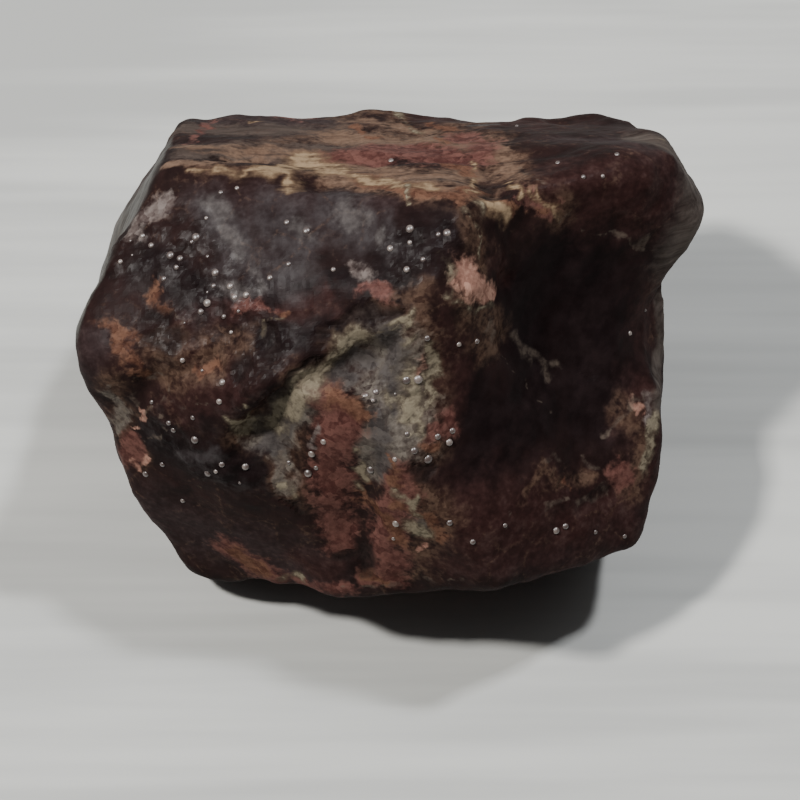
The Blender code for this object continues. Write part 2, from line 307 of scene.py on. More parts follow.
# Minerals, painted shade and painted sheen on the side that faces the camera: places in the image in
# pixels, then half a width in mm.
# The first kinds are broad washes, the later ones patches and veins with an outline.
frontPatches = {
    # painted shade: the darkest wash, laid in the hollows, along the cleft, under the sheen and in the
    # recesses where shade falls
    "hollowShade": {
        "hollowMiddle": ([(570, 250), (600, 330), (590, 395)], 3.2),
        "hollowLeft": ([(525, 300), (545, 400), (505, 430)], 2.4),
        "kneeShade": ([(465, 395), (500, 440), (470, 475)], 1.5),
        "neckShade": ([(390, 262), (430, 245), (455, 215)], 1.4),
        "leftShade": ([(150, 262), (190, 288), (215, 300)], 1.2),
        "cleftShade": ([(250, 345), (300, 332), (345, 322), (400, 305)], 0.8),
        "lowLobeShade": ([(160, 440), (205, 462), (255, 470)], 1.4),
        "sheenFoot": ([(255, 292), (330, 285), (400, 282)], 0.8),
        "veinShade": ([(235, 385), (215, 405), (200, 420)], 0.8),
    },
    "mauve": {
        "lowLobe": ([(160, 515), (220, 540), (290, 565), (320, 585)], 2.2),
        "lobeTop": ([(560, 140), (600, 140), (650, 155)], 1.0),
        "lobeSide": ([(660, 170), (690, 210), (672, 270)], 0.9),
        "leftRim": ([(90, 345), (98, 385)], 0.8),
        "lowRight": ([(500, 565), (580, 558), (640, 505)], 1.0),
        "sheenEdge": ([(200, 200), (300, 198), (385, 205)], 0.9),
        "rimFoot": ([(630, 400), (645, 450), (640, 490)], 1.0),
    },
    "maroon": {
        "lobeUpper": ([(560, 185), (610, 200), (660, 195)], 2.2),
        "lobeLower": ([(470, 525), (540, 530), (610, 520)], 2.4),
        "lobeLowerRim": ([(640, 400), (650, 500)], 1.4),
        "brow": ([(225, 315), (270, 305), (330, 300)], 0.7),
        "besideSpar": ([(490, 262), (508, 275)], 0.6),
        "lowMiddle": ([(430, 555), (500, 560)], 1.1),
        "leftFace": ([(180, 345), (230, 385), (180, 400)], 1.2),
        "footRed": ([(300, 560), (330, 575)], 0.9),
        "columnSide": ([(445, 330), (455, 380), (450, 410)], 0.9),
    },
    "tan": {
        "crownBand": ([(190, 152), (250, 150), (330, 152)], 0.7),
        "crownBandLow": ([(190, 166), (250, 168), (330, 172)], 0.5),
        "crownMatrix": ([(335, 182), (390, 190), (430, 195), (480, 200)], 0.8),
        "crownMatrixTop": ([(375, 132), (430, 132), (475, 124)], 1.0),
        "crownCap": ([(340, 118), (400, 112)], 0.6),
        "leftWash": ([(160, 345), (200, 356), (238, 344)], 0.8),
        "leftWashLow": ([(165, 378), (215, 374)], 0.6),
        "leftLace": ([(106, 385), (120, 405), (118, 430), (140, 455)], 0.8),
        "lowTan": ([(370, 578), (425, 575)], 0.5),
        "plate": ([(550, 482), (590, 476)], 0.4),
        "rimHaze": ([(622, 405), (645, 440), (636, 485)], 0.7),
        "columnHaze": ([(405, 312), (420, 370), (425, 440)], 1.2),
        "veinHaze": ([(355, 342), (305, 388), (250, 430)], 1.1),
        "lobeHaze": ([(522, 500), (545, 470)], 0.3),
        "seamHaze": ([(500, 150), (520, 178), (558, 212)], 0.9),
        "heartHaze": ([(300, 440), (285, 470), (300, 500)], 0.7),
        "runHaze": ([(410, 480), (440, 520), (420, 550)], 0.9),
        "slotHaze": ([(470, 215), (480, 250), (470, 300)], 0.7),
        "kneeHaze": ([(470, 310), (500, 330), (480, 350)], 0.7),
    },
    # partly painted reflection: the grey sheen of the left lamp on the front-left face, painted into the
    # colour; the coat gloss gives the rest
    "sheen": {
        "sheenLeft": ([(210, 208), (234, 240), (255, 276)], 1.15),
        "sheenMiddle": ([(275, 215), (300, 240), (285, 268)], 1.3),
        "sheenRight": ([(335, 208), (350, 225), (360, 238)], 1.2),
        "neckSheen": ([(385, 225), (392, 245)], 0.6),
        "kneeSheen": ([(300, 395), (285, 415), (262, 440)], 0.7),
        "lowSheen": ([(180, 455), (215, 455)], 0.4),
    },
    "red": {
        "crownLeftRed": ([(345, 156), (378, 158)], 1.1),
        "crownMaroon": ([(392, 150), (428, 152), (452, 162)], 1.4),
        "crownRightRed": ([(462, 138), (486, 142), (480, 160)], 0.75),
        "cornerRed": ([(188, 119), (214, 121)], 0.3),
        "lobeRed": ([(528, 195), (548, 208)], 0.5),
        "middleTop": ([(322, 392), (338, 410), (350, 425)], 0.8),
        "middle": ([(338, 430), (330, 465), (335, 500)], 1.05),
        "middleFoot": ([(330, 510), (340, 542)], 0.75),
        "leftBrow": ([(240, 306), (272, 303)], 0.35),
        "rimRed": ([(113, 440), (122, 462), (138, 440)], 0.5),
        "underSpar": ([(368, 288), (384, 292)], 0.45),
        "run": ([(395, 475), (402, 505), (385, 530), (392, 565)], 0.9),
        "lowRedFoot": ([(300, 583), (350, 590)], 0.5),
        "kneeRed": ([(432, 432), (450, 428), (446, 415)], 0.4),
        "tailRed": ([(370, 578), (398, 578)], 0.5),
        "footBlock": ([(230, 548), (252, 564), (274, 580)], 0.95),
        "plateRed": ([(610, 470), (628, 480)], 0.5),
    },
    "orange": {
        "crownSpot": ([(438, 138), (447, 143)], 0.32),
        "crownEdgeSpot": ([(425, 122), (433, 124)], 0.14),
        "crownGlow": ([(452, 165), (470, 174)], 0.5),
        "crownSweep": ([(368, 180), (420, 190), (460, 196), (480, 190)], 0.55),
        "crownRight": ([(505, 203), (522, 210), (545, 208)], 0.3),
        "leftBlock": ([(152, 288), (160, 306)], 0.36),
        "leftHead": ([(104, 326), (118, 335), (134, 338)], 0.34),
        "leftRun": ([(114, 346), (132, 358), (143, 374)], 0.38),
        "tanPatch": ([(203, 372), (216, 364)], 0.32),
        "redCurl": ([(262, 314), (285, 308)], 0.2),
        "runTop": ([(392, 470), (400, 492)], 0.36),
        "runMiddle": ([(372, 505), (388, 522), (398, 540)], 0.5),
        "runRight": ([(400, 510), (425, 518), (440, 538)], 0.4),
        "runSpark": ([(364, 480), (361, 497)], 0.22),
        "amberDot": ([(389, 458), (393, 463)], 0.14),
        "kneeSpot": ([(424, 446), (434, 444)], 0.24),
        "blockCore": ([(238, 552), (258, 570)], 0.6),
        "plateCore": ([(562, 477), (572, 484)], 0.2),
        "salmon": ([(330, 392), (352, 402), (362, 420)], 0.5),
        "crownDust": ([(350, 126), (375, 136)], 0.3),
        "footEdge": ([(370, 574), (385, 584)], 0.3),
    },
    "pink": {
        "spar": ([(462, 272), (478, 288)], 0.62),
        "sparTip": ([(478, 290), (494, 292)], 0.4),
        "rimPearl": ([(134, 462), (143, 455)], 0.24),
        "rimPearlHigh": ([(136, 424), (142, 410)], 0.24),
        "columnBlush": ([(420, 362), (418, 372)], 0.26),
        "lowBlush": ([(418, 548), (425, 545)], 0.2),
        "sideBlush": ([(632, 402), (638, 410)], 0.22),
    },
    "pearl": {
        "leftPearl": ([(136, 230), (152, 214)], 0.5),
        "leftPearlTop": ([(156, 210), (166, 196)], 0.3),
        "knobTop": ([(356, 268), (368, 274)], 0.34),
        "rimShale": ([(645, 402), (650, 422)], 0.3),
        "kneePearl": ([(320, 430), (312, 445)], 0.2),
    },
    # painted highlights: the brightest spots of the lamp's sheen on the front-left face
    "sheenHighlight": {
        "highlightRight": ([(345, 210), (354, 220)], 0.5),
        "highlightMiddle": ([(296, 222), (306, 234)], 0.3),
        "highlightTop": ([(212, 200), (226, 214)], 0.45),
        "highlightLeft": ([(228, 230), (238, 248)], 0.3),
        "highlightLow": ([(254, 272), (262, 288)], 0.28),
        "highlightFoot": ([(222, 284), (244, 294)], 0.25),
        "neckHighlight": ([(380, 232), (384, 240)], 0.2),
    },
    "pale": {
        "heart": ([(388, 345), (395, 385), (404, 428)], 1.3),
        "heartFoot": ([(372, 440), (378, 468)], 0.7),
        "veinShelf": ([(352, 352), (320, 384), (294, 410)], 0.7),
        "veinFoot": ([(285, 430), (258, 436)], 0.6),
        "heartTail": ([(282, 455), (290, 488)], 0.35),
        "runCream": ([(400, 498), (420, 528)], 0.4),
        "leftLace": ([(104, 392), (120, 410), (116, 430)], 0.4),
    },
    "sheet": {
        "blueSheet": ([(384, 332), (394, 352), (388, 376)], 0.6),
        "blueSheetLow": ([(340, 366), (368, 358)], 0.6),
        "sheetTail": ([(330, 378), (350, 374)], 0.4),
        "veinShelf": ([(285, 425), (262, 442), (280, 448)], 0.4),
        "crestStrip": ([(462, 127), (496, 124)], 0.16),
        "columnStain": ([(395, 385), (400, 410)], 0.3),
        "heartSheet": ([(378, 420), (384, 450), (380, 470)], 0.4),
    },
    "cream": {
        "slotPearl": ([(470, 211), (481, 205)], 0.26),
        "slotVein": ([(474, 218), (480, 232), (477, 252)], 0.16),
        "paleDrop": ([(410, 186), (414, 205)], 0.16),
        "sparRim": ([(452, 262), (451, 290)], 0.22),
        "sparSill": ([(449, 300), (472, 308), (494, 304)], 0.18),
        "columnTop": ([(408, 312), (407, 340)], 0.26),
        "columnSide": ([(431, 350), (433, 375), (427, 402)], 0.3),
        "column": ([(410, 372), (412, 390), (416, 430)], 0.4),
        "columnKnob": ([(386, 398), (398, 402)], 0.26),
        "veinHead": ([(398, 322), (378, 330)], 0.2),
        "veinTop": ([(362, 335), (342, 342)], 0.5),
        "vein": ([(345, 345), (322, 366), (302, 388)], 0.5),
        "veinFoot": ([(300, 390), (288, 410), (270, 428)], 0.42),
        "veinTail": ([(270, 428), (245, 430), (228, 420)], 0.26),
        "knuckle": ([(362, 449), (360, 468), (361, 484)], 0.22),
        "hookLow": ([(288, 482), (297, 498)], 0.24),
        "smallPearl": ([(245, 402), (249, 420)], 0.18),
        "lowPearl": ([(192, 486), (200, 488)], 0.13),
        "lowYellow": ([(412, 528), (425, 530)], 0.4),
        "lowLump": ([(398, 498), (412, 502), (414, 516)], 0.3),
        "footCream": ([(283, 576), (294, 590)], 0.34),
        "rimChipHigh": ([(655, 412), (653, 430), (652, 442)], 0.3),
        "rimChipLow": ([(653, 445), (650, 458), (645, 472)], 0.3),
        "hookCurl": ([(256, 336), (264, 324), (278, 317)], 0.14),
    },
    "straw": {
        "crownThread": ([(186, 171), (205, 167)], 0.12),
        "crownStreak": ([(215, 168), (232, 172), (262, 171)], 0.22),
        "crownBand": ([(262, 170), (290, 167), (312, 164)], 0.5),
        "crownDrip": ([(288, 170), (292, 186)], 0.3),
        "crownBlob": ([(305, 162), (326, 168)], 0.75),
        "crownTail": ([(330, 172), (352, 178), (380, 182), (420, 186)], 0.24),
        "crownSill": ([(382, 178), (400, 184), (440, 188)], 0.3),
        "edgeFleck": ([(250, 122), (278, 124)], 0.08),
        "topFleck": ([(262, 140), (272, 142)], 0.07),
        "slotRightSeam": ([(503, 185), (520, 190), (546, 196), (557, 212)], 0.15),
        "slotFoot": ([(490, 205), (504, 212)], 0.32),
        "slotHead": ([(474, 200), (476, 180), (474, 162)], 0.16),
    },
    "thread": {
        "hookStem": ([(284, 455), (279, 485)], 0.12),
        "hollowStreak": ([(514, 338), (530, 352), (550, 378)], 0.28),
        "hollowFork": ([(547, 368), (560, 361)], 0.18),
        "hollowTop": ([(490, 318), (495, 340)], 0.14),
        "ledgeRim": ([(551, 505), (562, 502), (580, 500), (603, 489)], 0.16),
        "ledgeFleck": ([(565, 460), (578, 462)], 0.12),
        "leftLace": ([(108, 388), (118, 398), (121, 412), (112, 428)], 0.13),
        "leftLoop": ([(148, 381), (163, 377), (168, 390)], 0.11),
        "leftHook": ([(170, 314), (181, 320), (186, 330)], 0.12),
        "leftTongue": ([(128, 376), (134, 395), (142, 415)], 0.12),
        "lobeThreadLeft": ([(512, 508), (510, 532)], 0.07),
        "lobeThreadRight": ([(528, 505), (531, 535)], 0.06),
        "kneeThread": ([(448, 482), (456, 500)], 0.07),
        "rimThread": ([(660, 312), (659, 345)], 0.08),
        "lobeSeam": ([(512, 165), (535, 176), (550, 182)], 0.1),
        "lobeWeb": ([(548, 212), (575, 218), (600, 238), (640, 242), (668, 262)], 0.09),
        "plateTop": ([(540, 470), (556, 456), (580, 460), (598, 468)], 0.12),
        "hollowFoot": ([(505, 360), (540, 400), (560, 424)], 0.07),
        "sideSeam": ([(604, 436), (630, 400), (645, 398)], 0.12),
        "leftSeam": ([(140, 415), (170, 402), (205, 400)], 0.1),
        "leftFork": ([(170, 402), (168, 425), (150, 445)], 0.09),
        "footSeam": ([(345, 590), (400, 584), (470, 580)], 0.12),
    },
    # dark stone in the knob and the pool; painted shade in the cleft, the slot and the pits
    "slateAndShade": {
        "cleft": ([(318, 352), (300, 372), (272, 398)], 0.35),
        "cleftTop": ([(392, 312), (355, 318), (322, 332)], 0.35),
        "maroonPit": ([(268, 338), (272, 356)], 0.5),
        "neckPit": ([(242, 362), (236, 375)], 0.35),
        "kneePit": ([(412, 470), (430, 474)], 0.42),
        "hookPit": ([(287, 502), (296, 508)], 0.3),
        "slateKnob": ([(158, 318), (152, 336), (172, 342)], 0.55),
        "slatePool": ([(345, 560), (366, 548), (368, 565)], 0.5),
        "slotDark": ([(487, 168), (488, 196)], 0.3),
        "crownPit": ([(368, 128), (378, 132)], 0.2),
    },
    "rough": {
        "leftGravel": ([(112, 390), (125, 410), (118, 430)], 0.9),
        "column": ([(408, 320), (418, 380), (420, 440)], 1.2),
        "vein": ([(350, 345), (310, 380), (270, 425)], 0.7),
        "lowRun": ([(395, 490), (415, 530)], 1.2),
        "rimGravel": ([(655, 410), (650, 470), (640, 470)], 0.6),
        "crown": ([(350, 130), (400, 140), (440, 150), (530, 180)], 1.1),
        "ledge": ([(555, 480), (590, 480)], 0.8),
        "leftRun": ([(105, 330), (140, 370)], 0.6),
    },
    "beady": {
        "leftShoulder": ([(120, 250), (180, 240), (215, 285), (240, 300)], 1.6),
        "lowLobe": ([(165, 430), (205, 465), (260, 470)], 1.7),
        "neck": ([(395, 235), (440, 235), (410, 265)], 1.2),
        "leftFace": ([(165, 335), (200, 360), (270, 350), (235, 395)], 1.3),
        "heart": ([(380, 400), (430, 440)], 1.0),
    },
    # the crown's growth stripes; their grey is partly a painted reflection of the floor behind, seen at a
    # grazing angle
    "striped": {
        "crownLeft": ([(190, 128), (250, 130), (335, 132)], 1.3),
        "crownLeftLow": ([(188, 152), (260, 152), (325, 152)], 1.2),
    },
    "brown": {
        "crownField": ([(335, 136), (380, 142), (430, 140), (478, 144)], 1.1),
        "crownFieldLow": ([(335, 164), (380, 174), (430, 176), (474, 176)], 1.0),
        "crownBand": ([(182, 146), (215, 150), (262, 150), (318, 156)], 0.55),
        "crownBandLow": ([(178, 163), (215, 162), (262, 160)], 0.4),
        "crownSpan": ([(335, 174), (390, 182), (430, 188), (476, 190)], 0.9),
        "crownCap": ([(350, 122), (392, 126), (430, 132)], 0.5),
        "crownRight": ([(500, 150), (512, 172), (536, 200)], 0.4),
    },
    # the pale grey lines along the upper-left crest are partly a painted reflection of the floor at a
    # grazing angle; the coat gloss there is real
    "crest": {
        "leftCrest": ([(86, 308), (106, 264), (134, 204), (164, 142), (178, 122)], 3.0),
    },
    "rimLines": {
        "rightRim": ([(650, 128), (674, 152), (695, 196), (688, 232), (676, 268)], 1.2),
        "lowRim": ([(660, 300), (661, 350), (659, 400)], 0.5),
    },
}

# Minerals and painted shade on the hidden sides: degrees round the middle from +X and degrees above level,
# then half a width in mm.
sidePatches = {
    # painted shade in the recesses of the hidden sides
    "hollowShade": {
        "backShade": ([(70, 0), (85, -20)], 3.0),
        "leftShade": ([(178, 0), (170, -25)], 2.4),
        "rightShade": ([(20, -15), (0, -25)], 2.4),
    },
    "mauve": {
        "backDust": ([(105, 25), (125, 5), (120, -20)], 2.6),
        "leftDust": ([(190, 10), (200, -15)], 2.0),
        "rightDust": ([(35, 10), (15, 20)], 2.2),
        "underDust": ([(250, -60), (300, -65), (40, -70)], 4.0),
    },
    "maroon": {
        "backRed": ([(60, 15), (80, 5), (70, -25)], 2.4),
        "leftRed": ([(160, 20), (152, -5)], 2.0),
        "rightRed": ([(5, 5), (12, -8)], 2.0),
    },
    "tan": {
        "backBand": ([(60, 30), (90, 27), (125, 30)], 1.2),
        "backVeinHaze": ([(84, 20), (94, 2), (104, -18)], 0.9),
        "leftHaze": ([(172, 22), (160, 10), (165, -12)], 0.9),
        "rightHaze": ([(28, 24), (24, 5), (32, -12)], 0.9),
        "frontHaze": ([(262, -35), (285, -42)], 1.0),
    },
    "red": {
        "backBlockRed": ([(112, 4), (124, -6), (120, -16)], 1.1),
        "leftPatch": ([(150, -14), (160, -26)], 0.9),
        "rightPatch": ([(-8, -16), (6, -26)], 0.9),
    },
    "orange": {
        "backBlock": ([(116, 2), (122, -6)], 0.6),
        "backSpots": ([(72, 22), (78, 18)], 0.4),
        "leftSpot": ([(186, -12), (192, -20)], 0.5),
        "rightSpot": ([(14, 10), (22, 6)], 0.45),
    },
    "cream": {
        "backVein": ([(82, 22), (92, 4), (102, -16), (106, -26)], 0.26),
        "backFork": ([(93, 2), (108, 6)], 0.18),
        "leftVein": ([(174, 20), (162, 8), (166, -10)], 0.2),
        "rightVein": ([(30, 22), (25, 4), (33, -14)], 0.2),
    },
    # painted shade in the pits of the hidden sides
    "slateAndShade": {
        "backPit": ([(88, -24), (92, -30)], 0.6),
        "leftPit": ([(178, -16), (182, -20)], 0.5),
    },
    "rough": {
        "backGravel": ([(84, 20), (94, 2), (104, -18)], 1.4),
        "leftGravel": ([(168, 10), (165, -10)], 1.2),
        "rightGravel": ([(28, 18), (28, -8)], 1.2),
    },
}


def seenPlace(tree, camera, place):
    start, way = pixelRay(camera, place)
    hit = tree.ray_cast(start, way)[0]
    if hit is None:  # just outside the outline: the nearest place on the rim
        middle = Vector(crystalSkin["middle"]) * mm
        hit = tree.find_nearest(start + way * (middle - start).dot(way))[0]
    return np.array(hit)


def sidePlace(tree, place):
    turn, lift = math.radians(place[0]), math.radians(place[1])
    way = Vector((math.cos(turn) * math.cos(lift), math.sin(turn) * math.cos(lift), math.sin(lift)))
    start = Vector(crystalSkin["middle"]) * mm + way * crystalSkin["around"] * mm
    return np.array(tree.ray_cast(start, -way)[0])


def lineDistance(places, line):
    nearest = np.full(len(places), np.inf)
    for start, end in zip(line[:-1], line[1:]):
        along = end - start
        share = np.clip((places - start) @ along / max(along @ along, 1e-12), 0, 1)
        gap = np.linalg.norm(places - start - share[:, None] * along, axis=1)
        nearest = np.minimum(nearest, gap)
    return nearest


def writeField(mesh, name, values):
    field = mesh.attributes.new(name, "FLOAT", "POINT")
    field.data.foreach_set("value", values.astype(np.float32))


def meshPlaces(mesh):
    places = np.empty(len(mesh.vertices) * 3, np.float32)
    mesh.vertices.foreach_get("co", places)
    return places.reshape(-1, 3).astype(float)


def wandered(places):  # moved by smooth noise, so that a patch has a ragged outline
    noise.seed_set(crystalSkin["wanderSeed"])
    for reach, spacing in crystalSkin["wander"]:
        push = np.array([noise.noise_vector(Vector(place) / (spacing * mm)) for place in places])
        places = places + push * reach * mm
    return places


def paintPatches(skin, camera):
    tree = BVHTree.FromObject(skin, bpy.context.evaluated_depsgraph_get())
    still = meshPlaces(skin.data)
    strayed = wandered(still)
    for kind, patches in frontPatches.items():
        places = still if kind in ("rimLines", "crest") else strayed
        field = np.full(len(places), crystalSkin["outside"])
        lines = [([seenPlace(tree, camera, point) for point in points], halfWidth)
                 for points, halfWidth in patches.values()]
        lines += [([sidePlace(tree, point) for point in points], halfWidth)
                  for points, halfWidth in sidePatches.get(kind, {}).values()]
        for line, halfWidth in lines:
            field = np.maximum(field, 1 - lineDistance(places, line) / (halfWidth * mm))
        writeField(skin.data, kind, field)
    normals = np.array([normal.vector for normal in skin.data.vertex_normals])
    writeField(skin.data, "polished", normals @ np.array(crystalSkin["polishedWay"]))
    facing = normals @ np.array(viewAxes()[2])
    hidden = (crystalSkin["hiddenFrom"] - facing) / crystalSkin["hiddenFade"]
    writeField(skin.data, "hidden", np.clip(hidden, 0, 1))


def openTree(name, values):  # a tree whose inputs are the skin and the named values
    tree = bpy.data.node_groups.new(name, "GeometryNodeTree")
    tree.interface.new_socket(name="Skin", in_out="INPUT", socket_type="NodeSocketGeometry")
    for label, value in values.items():
        kind = "NodeSocketInt" if isinstance(value, int) else "NodeSocketFloat"
        tree.interface.new_socket(name=label, in_out="INPUT", socket_type=kind)
    tree.interface.new_socket(name="Shape", in_out="OUTPUT", socket_type="NodeSocketGeometry")
    graph = Graph(tree)
    inlet = tree.nodes.new("NodeGroupInput")
    size = {label: Wire(graph, inlet.outputs[label]) for label in values}
    return graph, Wire(graph, inlet.outputs["Skin"]), size


def closeTree(graph, shape, material):
    whole = graph.node("GeometryNodeRealizeInstances", None, {"Geometry": shape})
    dressed = graph.node("GeometryNodeSetMaterial", None, {"Geometry": whole, "Material": material})
    graph.feed(graph.tree.nodes.new("NodeGroupOutput"), {"Shape": dressed})
    return graph.tree


def bakeTree(holder, tree, values):  # the tree's result becomes the holder's own mesh
    modifier = holder.modifiers.new(tree.name, "NODES")
    modifier.node_group = tree
    for item in tree.interface.items_tree:
        if item.in_out == "INPUT" and item.name in values:
            modifier[item.identifier] = values[item.name]
    holder.data = bakedMesh(holder, holder.name)
    holder.modifiers.clear()


relief = {  # heights in mm, rates in times per mm
    "Lump Height": 0.20,  # the broad worn lumps
    "Lump Rate": 0.65,
    "Dimple Height": 0.07,  # shallow dimples all over
    "Dimple Rate": 1.5,
    "Knob Height": 0.16,  # the small knobs of the beaded parts
    "Knob Rate": 1.0,
    "Bead Height": 0.05,  # the drop-like swellings on them
    "Bead Rate": 1.9,
    "Gravel Height": 0.16,  # where the minerals are coarse
    "Gravel Rate": 2.6,
    "Ripple Height": 0.10,  # the soft ripples that run down the sheen
    "Ripple Rate": 1.3,
    "Stripe Height": 0.06,  # the growth lines on the crown
    "Stripe Rate": 2.6,
    "Pit Depth": 0.13,
    "Foot Fade": 0.8,  # mm above the floor, below which the relief dies away
}
reliefEdges = {  # from 0, a patch's outline, to 1, its middle line: where its relief starts and is whole
    "beady": (-0.4, 0.7),
    "rough": (0.0, 0.5),
    "slateAndShade": (-0.6, 0.9),
    "sheen": (-0.4, 0.5),
    "striped": (0.0, 0.3),
}


def makeReliefTree(material):
    graph, skin, size = openTree("crystalRelief", relief)
    place = graph.scaled(graph.node("GeometryNodeInputPosition"), 1 / mm)
    high = graph.node("ShaderNodeSeparateXYZ", None, {0: place}, 2)
    downhill = graph.stretched(place, (1.0, 0.3, 0.3))
    level = graph.stretched(place, (0.1, 1.0, 1.0))

    def share(kind):
        return graph.step(graph.onPoints(kind), *reliefEdges[kind])

    def swell(way, name, detail, rough=0.5):  # up and down about the skin
        return (graph.cloud(way, size[name + " Rate"], detail, rough) - 0.5) * size[name + " Height"]

    height = swell(place, "Lump", 1.0) + swell(place, "Dimple", 1.0)
    knobs = 1 - graph.step(graph.roundedCells(place, size["Knob Rate"], 0.35), 0.0, 0.8)
    beads = 1 - graph.step(graph.cells(place, size["Bead Rate"]), 0.05, 0.55)
    drops = knobs * size["Knob Height"] + beads * size["Bead Height"]
    height = height + drops * share("beady") + swell(place, "Gravel", 2.0, 0.6) * share("rough")
    height = height - share("slateAndShade") * size["Pit Depth"] + swell(downhill, "Ripple", 2.0) * share("sheen")
    height = height + swell(level, "Stripe", 2.0) * share("striped")
    fade = graph.step(high, 0.05, size["Foot Fade"])
    offset = graph.scaled(graph.node("GeometryNodeInputNormal"), height * fade * mm)
    moved = graph.node("GeometryNodeSetPosition", None, {"Geometry": skin, "Offset": offset})
    return closeTree(graph, moved, material)


def carveRelief(skin, material):
    bakeTree(skin, makeReliefTree(material), relief)
    places = meshPlaces(skin.data)
    places[:, 2] = np.maximum(places[:, 2], cadBox[0][2])
    skin.data.vertices.foreach_set("co", places.astype(np.float32).ravel())
    skin.data.update()


garnetFinish = {
    "tones": {  # the darker and the lighter colour of each mineral, and of the painted shade, sheen and highlights
        "body": ((0.0120, 0.0072, 0.0070, 1), (0.031, 0.0155, 0.0142, 1)),
        # painted shade: the near-black of the hollows and recesses
        "hollowShade": ((0.0080, 0.0052, 0.0056, 1), (0.0160, 0.0105, 0.0110, 1)),
        "mauve": ((0.026, 0.0155, 0.0155, 1), (0.048, 0.0310, 0.0310, 1)),
        "maroon": ((0.024, 0.0105, 0.0098, 1), (0.050, 0.0225, 0.0205, 1)),
        "dust": ((0.040, 0.0260, 0.0240, 1), (0.075, 0.0520, 0.0460, 1)),
        "tan": ((0.048, 0.026, 0.019, 1), (0.115, 0.069, 0.048, 1)),
        # painted reflection: the grey of the left lamp's sheen
        "sheen": ((0.020, 0.0130, 0.0135, 1), (0.062, 0.054, 0.055, 1)),
        # painted highlight
        "sheenHighlight": ((0.060, 0.052, 0.050, 1), (0.125, 0.110, 0.104, 1)),
        "red": ((0.074, 0.028, 0.024, 1), (0.158, 0.070, 0.057, 1)),
        "orange": ((0.078, 0.034, 0.023, 1), (0.165, 0.083, 0.053, 1)),
        "pink": ((0.260, 0.130, 0.098, 1), (0.460, 0.260, 0.195, 1)),
        "pearl": ((0.095, 0.070, 0.064, 1), (0.200, 0.165, 0.150, 1)),
        "pale": ((0.074, 0.059, 0.051, 1), (0.175, 0.152, 0.127, 1)),
        "sheet": ((0.043, 0.036, 0.035, 1), (0.087, 0.075, 0.070, 1)),
        "straw": ((0.135, 0.085, 0.052, 1), (0.330, 0.235, 0.145, 1)),
        "cream": ((0.095, 0.075, 0.053, 1), (0.225, 0.190, 0.134, 1)),
        "thread": ((0.055, 0.040, 0.033, 1), (0.140, 0.108, 0.084, 1)),
        # dark stone, and painted shade in the cleft, the slot and the pits
        "slateAndShade": ((0.0090, 0.0060, 0.0058, 1), (0.024, 0.016, 0.015, 1)),
        # partly painted reflection: the grey of the crown stripes
        "striped": ((0.058, 0.043, 0.037, 1), (0.118, 0.090, 0.075, 1)),
        "brown": ((0.106, 0.063, 0.044, 1), (0.202, 0.129, 0.090, 1)),
        # partly painted reflection: the pale grey lines of the crest
        "crest": ((0.012, 0.010, 0.009, 1), (0.085, 0.078, 0.066, 1)),
        "rimLines": ((0.030, 0.021, 0.018, 1), (0.161, 0.132, 0.113, 1)),
    },
    "cover": {  # how much of what lies under it each layer hides
        "hollowShade": 0.85, "mauve": 0.85, "maroon": 0.85, "dust": 0.35, "flecks": 0.3, "glassy": 0.7,
        "tan": 0.9, "striped": 0.85, "brown": 1.0, "sheen": 0.85, "blotches": 0.7, "seams": 0.42,
        "sheenHighlight": 0.7, "pale": 0.9, "red": 0.92, "sheet": 0.92, "orange": 0.92, "pink": 0.92,
        "pearl": 0.9, "thread": 0.6, "straw": 0.92, "cream": 0.92, "slateAndShade": 0.85, "crest": 0.8,
        "rimLines": 0.8,
    },
    "edges": {  # where a patch starts to show and where it is whole; 0 is its outline, 1 its middle line
        "sheenHighlight": (-1.1, 0.8), "pale": (-0.8, 0.5), "brown": (-0.8, 0.7), "red": (-0.6, 0.45),
        "sheet": (-0.6, 0.45), "orange": (-0.6, 0.45), "pink": (-0.6, 0.45), "pearl": (-0.7, 0.5),
        "thread": (-0.9, 0.8), "cream": (-0.9, 0.6), "straw": (-1.2, 0.5), "rimLines": (-0.7, 0.5),
    },
    "plainEdge": (-0.45, 0.55),  # of the other patches
    "washEdge": (-0.65, 0.75),  # of the broad washes
    "clouds": {  # stretch along x, y and z, then times per mm, detail, roughness and warp
        "broad": ((1.0, 1.0, 1.0), 0.32, 3.0, 0.55),
        "medium": ((1.0, 1.0, 1.0), 1.1, 3.0, 0.55),
        "small": ((1.0, 1.0, 1.0), 3.6, 2.0, 0.5),
        "speck": ((1.0, 1.0, 1.0), 12.0, 2.0, 0.6),
        "level": ((0.1, 1.0, 1.0), 2.4, 3.0, 0.6),  # long from left to right
        "downhill": ((1.0, 0.22, 0.22), 1.8, 3.0, 0.6),  # long down the faces
        "blotches": ((0.8, 1.0, 1.3), 0.42, 4.0, 0.6, 0.6),
    },
    "lines": {  # the way along them and how fast they change that way, the same across them, the cloud
        "crest": ((-0.453, -0.772, -0.446), 0.06, (-0.06, -0.56, 0.83), 1.0, (3.4, 2.0, 0.5)),
        "rimLines": ((0.5, -0.43, 0.75), 1.0, (0.0, 0.866, 0.5), 0.3, (2.4, 4.0, 0.7, 0.5)),
    },
    "chips": {"shift": 0.25, "shiftPerMm": 3.0, "crumbPerMm": 2.1, "grainPerMm": 5.5},  # shift in mm
    "blobsPerMm": 0.95,
    "cracksPerMm": 0.42,
    "bumps": {  # mm
        "medium": 0.035, "mediumLumpy": 0.035, "small": 0.009, "smallLumpy": 0.014,
        "speck": 0.003, "crumb": 0.010, "sheen": 0.05,
    },
    "rough": 0.54,
    "gloss": 0.02,
    "ior": 1.06,
    "coatRough": 0.36,
    "coatIor": 1.5,
}


